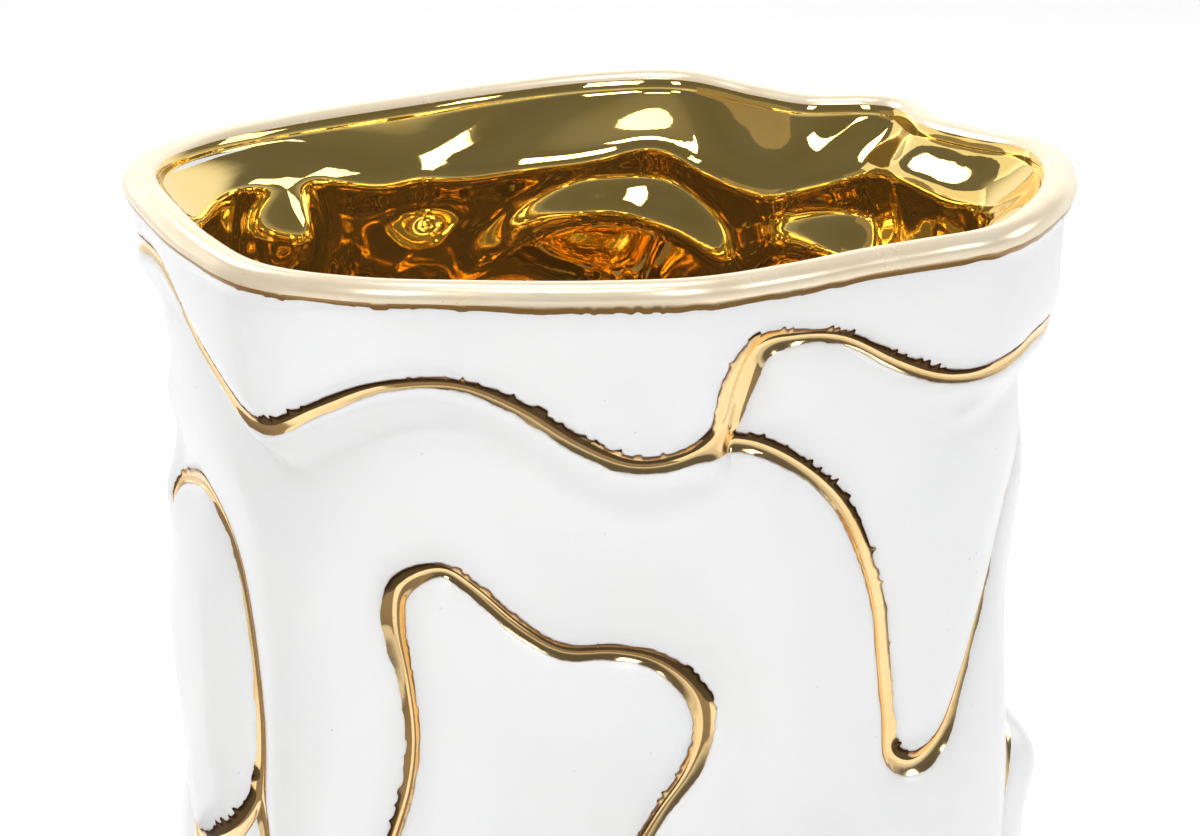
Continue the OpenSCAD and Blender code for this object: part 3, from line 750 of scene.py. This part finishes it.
class Nodes:
    """Short names for the nodes that the materials share."""

    def __init__(self, material):
        self.tree = material.node_tree
        self.shader = self.tree.nodes["Principled BSDF"]
        self.place = self.new("ShaderNodeTexCoord").outputs["Object"]

    def new(self, kind, **settings):
        node = self.tree.nodes.new(kind)
        for name, value in settings.items():
            setattr(node, name, value)
        return node

    def link(self, source, target):
        self.tree.links.new(source, target)

    def noise(self, scale, detail=3.0, roughness=0.5, warp=0.0):
        node = self.new("ShaderNodeTexNoise")
        node.inputs["Scale"].default_value = scale
        node.inputs["Detail"].default_value = detail
        node.inputs["Roughness"].default_value = roughness
        node.inputs["Distortion"].default_value = warp
        self.link(self.place, node.inputs["Vector"])
        return node.outputs["Fac"]

    def spots(self, scale, size):
        """1 inside rare round spots, 0 elsewhere."""
        node = self.new("ShaderNodeTexVoronoi")
        node.inputs["Scale"].default_value = scale
        self.link(self.place, node.inputs["Vector"])
        return self.fade(node.outputs["Distance"], size, size * 0.4)

    def fade(self, source, low, high, to_low=0.0, to_high=1.0):
        node = self.new("ShaderNodeMapRange", clamp=True)
        node.inputs["From Min"].default_value = low
        node.inputs["From Max"].default_value = high
        node.inputs["To Min"].default_value = to_low
        node.inputs["To Max"].default_value = to_high
        self.link(source, node.inputs["Value"])
        return node.outputs["Result"]

    def times(self, a, b):
        node = self.new("ShaderNodeMath", operation="MULTIPLY")
        self.link(a, node.inputs[0])
        self.link(b, node.inputs[1])
        return node.outputs[0]

    def mix(self, share, a, b):
        node = self.new("ShaderNodeMix", data_type="RGBA")
        self.link(share, node.inputs[0])
        for socket, value in ((node.inputs[6], a), (node.inputs[7], b)):
            if isinstance(value, tuple):
                socket.default_value = value + (1.0,)
            else:
                self.link(value, socket)
        return node.outputs[2]

    def attribute(self, name):
        return self.new("ShaderNodeAttribute", attribute_name=name).outputs["Fac"]

    def bump(self, height, strength, distance, under=None):
        node = self.new("ShaderNodeBump")
        node.inputs["Strength"].default_value = strength
        node.inputs["Distance"].default_value = distance
        self.link(height, node.inputs["Height"])
        if under is not None:
            self.link(under, node.inputs["Normal"])
        return node.outputs["Normal"]

    def set(self, socket, source):
        self.link(source, self.shader.inputs[socket])


def porcelain_material():
    """White satin glaze: faint tone changes, soft orange peel, rare pinholes."""
    material = new_material("porcelain_glaze", Coat_Weight=0.35, Coat_Roughness=0.16, IOR=1.5)
    n = Nodes(material)
    tone = n.mix(n.fade(n.noise(14, 3), 0.35, 0.65), (0.905, 0.905, 0.90), (0.93, 0.93, 0.93))
    cool = n.mix(n.fade(n.noise(38, 2), 0.45, 0.75), tone, (0.90, 0.905, 0.915))
    pinholes = n.times(n.spots(330, 0.07), n.fade(n.noise(60, 1), 0.60, 0.66))
    n.set("Base Color", n.mix(pinholes, cool, (0.45, 0.42, 0.38)))
    n.set("Roughness", n.fade(n.noise(90, 4), 0.3, 0.7, 0.30, 0.44))
    peel = n.bump(n.noise(260, 2), 0.10, 0.0004)
    n.set("Normal", n.bump(n.noise(1500, 2), 0.05, 0.0001, peel))
    return material


def gold_material(name, pale, deep, shade_and_specks, smooth, rough, ripple, metal, edged=None):
    """Fired gold lustre: tone and gloss vary with its thickness. With edged, it turns to its dark
    colour where the piece's rim value falls from the first of these values to the second: painted
    shade along the gold's edge. The same dark colour marks rare specks."""
    material = new_material(name, Metallic=metal)
    n = Nodes(material)
    colour = n.mix(n.fade(n.noise(75, 4, 0.6, 0.4), 0.35, 0.68), pale, deep)
    gloss = n.fade(n.noise(130, 4, 0.6), 0.3, 0.75, smooth, rough)
    if edged:
        # painted shade: the dark colour where the rim value is small, along the gold's edge
        fringe = n.fade(n.attribute("rim"), *edged)
        colour = n.mix(fringe, colour, shade_and_specks)
    specks = n.times(n.spots(900, 0.12), n.fade(n.noise(210, 1), 0.58, 0.68))
    n.set("Base Color", n.mix(specks, colour, shade_and_specks))
    n.set("Roughness", gloss)
    soft = n.bump(n.noise(70, 2), ripple, 0.0006)
    n.set("Normal", n.bump(n.noise(650, 3), 0.05, 0.00012, soft))
    return material


def bisque_material():
    """Bare fired clay: chalky, cream, speckled."""
    material = new_material("bisque", IOR=1.45)
    n = Nodes(material)
    tone = n.mix(n.fade(n.noise(120, 4), 0.3, 0.7), (0.80, 0.76, 0.68), (0.70, 0.65, 0.57))
    n.set("Base Color", n.mix(n.spots(1300, 0.16), tone, (0.42, 0.34, 0.27)))
    n.set("Roughness", n.fade(n.noise(400, 3), 0.3, 0.7, 0.78, 0.95))
    n.set("Normal", n.bump(n.noise(2200, 4), 0.35, 0.0002))
    return material


# ---------------------------------------------------------------- stage
def floor_material():
    material = new_material("pale_floor", Roughness=0.6)
    n = Nodes(material)
    n.set("Base Color", n.mix(n.noise(3, 2), (0.93, 0.93, 0.93), (0.95, 0.95, 0.95)))
    return material


def make_floor():
    """A plain round floor, in metres."""
    bpy.ops.mesh.primitive_circle_add(vertices=128, radius=2.1, fill_type="NGON", location=(0, 0, 0))
    floor = bpy.context.object
    floor.name = "floor"
    floor.data.materials.append(floor_material())


def cloth_material(name, tone):
    material = new_material(name, Roughness=0.9)
    n = Nodes(material)
    deep = (tone, 0.85 * tone, 0.7 * tone)
    pale = (1.4 * tone, 1.2 * tone, tone)
    n.set("Base Color", n.mix(n.noise(9, 2), deep, pale))
    return material


def make_cloths():
    """Dark cloths on the floor and at one side of the room, seen only in the glaze and gold."""
    dark = cloth_material("dark_cloth", 0.05)
    brown = cloth_material("brown_cloth", 0.20)
    sides = 48
    # first and last angle, then radius and height of the near and of the far edge
    cloths = (
        (-180, 180, 110, 2, 340, 2, dark),
        (-30, 25, 340, 2, 2400, 2, brown),
        (-114, -66, 340, 2, 1500, 2, brown),
        (-114, -66, 1500, 2, 1500, 900, brown),
    )
    for number, (first, last, near, low, far, high, material) in enumerate(cloths):
        angles = np.linspace(first, last, sides + 1)
        points = np.concatenate([place(angles, near, low), place(angles, far, high)])
        i = np.arange(sides)
        quads = np.stack([i, i + 1, i + sides + 2, i + sides + 1], axis=-1)
        cloth = new_piece(f"cloth_{number}", points, quads, [], material)
        cloth.visible_camera = False
        cloth.visible_diffuse = False
        cloth.visible_shadow = False
        cloth.visible_transmission = False
        cloth.visible_volume_scatter = False


# the softboxes: name, azimuth, elevation, distance, width, height, radiance and whether the
# glaze and gold show them, in degrees and metres
SOFTBOXES = [
    ("key_left", -46, 38, 1.7, 0.9, 0.7, 2.1, False),
    ("key_right", 42, 42, 1.7, 0.8, 0.6, 0.4, False),
    ("overhead", 0, 88, 4.0, 7.0, 7.0, 0.60, False),
    ("back", 178, 52, 2.7, 2.4, 1.4, 2.7, False),
    ("window_left", -34, 42, 1.7, 0.34, 0.50, 6.0, True),
    ("window_right", 26, 44, 1.7, 0.40, 0.55, 6.0, True),
    ("window_side", 66, 34, 1.7, 0.26, 0.36, 6.0, True),
    ("window_far", 112, 24, 1.7, 0.6, 0.45, 3.0, True),
    ("window_top", -8, 70, 1.7, 0.5, 0.3, 6.0, True),
    ("ceiling", 180, 80, 1.9, 0.9, 0.6, 3.0, True),
    ("window_back", -140, 42, 1.7, 0.5, 0.4, 5.0, True),
    ("side_wall", -132, 16, 1.8, 1.1, 0.8, 0.8, True),
]


def make_softbox(name, azimuth, elevation, distance, width, height, radiance, reflected):
    """A rectangular softbox aimed at the top of the vase."""
    light = bpy.data.lights.new(name, "AREA")
    light.shape = "RECTANGLE"
    light.size, light.size_y = width, height
    light.energy = radiance * math.pi * width * height
    lamp = bpy.data.objects.new(name, light)
    a, e = math.radians(azimuth), math.radians(elevation)
    target = Vector((0, 0, 0.2))
    lamp.location = target + distance * Vector((
        math.sin(a) * math.cos(e), -math.cos(a) * math.cos(e), math.sin(e)
    ))
    lamp.rotation_euler = (target - lamp.location).to_track_quat("-Z", "Y").to_euler()
    lamp.visible_camera = False
    lamp.visible_glossy = reflected
    bpy.context.scene.collection.objects.link(lamp)


def make_world():
    """A studio: a white sweep behind the vase (+Y), a dim room in front of it. Both are
    grey values over the height of the direction, and side fades from one to the other."""
    world = bpy.data.worlds.new("studio")
    world.use_nodes = True
    bpy.context.scene.world = world
    tree = world.node_tree
    direction = tree.nodes.new("ShaderNodeTexCoord")
    split = tree.nodes.new("ShaderNodeSeparateXYZ")
    tree.links.new(direction.outputs["Generated"], split.inputs[0])
    sweep = ((0.0, 1.0), (0.45, 1.0), (0.70, 0.9), (0.85, 0.5), (1.0, 0.15))
    room = ((0.0, 0.78), (0.10, 0.50), (0.22, 0.15), (0.60, 0.11), (0.90, 0.13), (1.0, 0.22))
    ramps = []
    for stops in (sweep, room):
        ramp = tree.nodes.new("ShaderNodeValToRGB")
        ramp.color_ramp.elements[0].position = stops[0][0]
        ramp.color_ramp.elements[1].position = stops[-1][0]
        for position, _ in stops[1:-1]:
            ramp.color_ramp.elements.new(position)
        for element, (_, value) in zip(ramp.color_ramp.elements, stops):
            element.color = (value, value, value, 1)
        tree.links.new(split.outputs["Z"], ramp.inputs[0])
        ramps.append(ramp)
    side = tree.nodes.new("ShaderNodeMapRange")
    side.interpolation_type = "SMOOTHSTEP"
    side.inputs["From Min"].default_value = 0.90
    side.inputs["From Max"].default_value = 0.70
    tree.links.new(split.outputs["Y"], side.inputs["Value"])
    mix = tree.nodes.new("ShaderNodeMix")
    mix.data_type = "RGBA"
    tree.links.new(side.outputs["Result"], mix.inputs[0])
    tree.links.new(ramps[0].outputs[0], mix.inputs[6])
    tree.links.new(ramps[1].outputs[0], mix.inputs[7])
    tree.links.new(mix.outputs[2], tree.nodes["Background"].inputs["Color"])


def make_camera():
    """The photograph's camera, in metres and degrees."""
    aim = Vector((0, 0, 0.2252))
    distance, pitch, lens = 1.150, math.radians(15.3), 192.2
    data = bpy.data.cameras.new("camera")
    data.lens = lens
    data.sensor_width = 36
    data.clip_end = 60
    camera = bpy.data.objects.new("camera", data)
    camera.location = aim + distance * Vector((0, -math.cos(pitch), math.sin(pitch)))
    camera.rotation_euler = (aim - camera.location).to_track_quat("-Z", "Y").to_euler()
    bpy.context.scene.collection.objects.link(camera)
    bpy.context.scene.camera = camera


# ---------------------------------------------------------------- the whole
gold_mirror = gold_material(
    "gold_mirror", pale=(1.0, 0.74, 0.25), deep=(1.0, 0.70, 0.20), shade_and_specks=(0.85, 0.54, 0.15),
    smooth=0.03, rough=0.055, ripple=0.03, metal=0.96,
)
# the dark colour of the lip is painted shade on the strip of gilding below the bead, and the colour of rare
# specks
gold_lip = gold_material(
    "gold_lip", pale=(1.0, 0.87, 0.66), deep=(1.0, 0.83, 0.58), shade_and_specks=(0.34, 0.19, 0.06),
    smooth=0.20, rough=0.30, ripple=0.06, metal=0.42, edged=(1.8, 1.0),
)
# the dark colour of the lines is painted shade along the upper edge of each line, and the colour of rare
# specks
gold_line = gold_material(
    "gold_line", pale=(0.97, 0.71, 0.36), deep=(0.92, 0.62, 0.28), shade_and_specks=(0.33, 0.15, 0.05),
    smooth=0.07, rough=0.14, ripple=0.2, metal=1.0, edged=(0.75, 0.25),
)

make_porcelain(porcelain_material())
for seed, (line, (strokes, stride)) in enumerate(LINES.items()):
    make_line(line, strokes, stride, 100 + 10 * seed, gold_line)
make_lip(gold_lip)
make_lining(gold_mirror)
make_foot(bisque_material())

make_floor()
make_cloths()
for box in SOFTBOXES:
    make_softbox(*box)
make_world()
make_camera()
bpy.context.scene.view_settings.view_transform = "Standard"
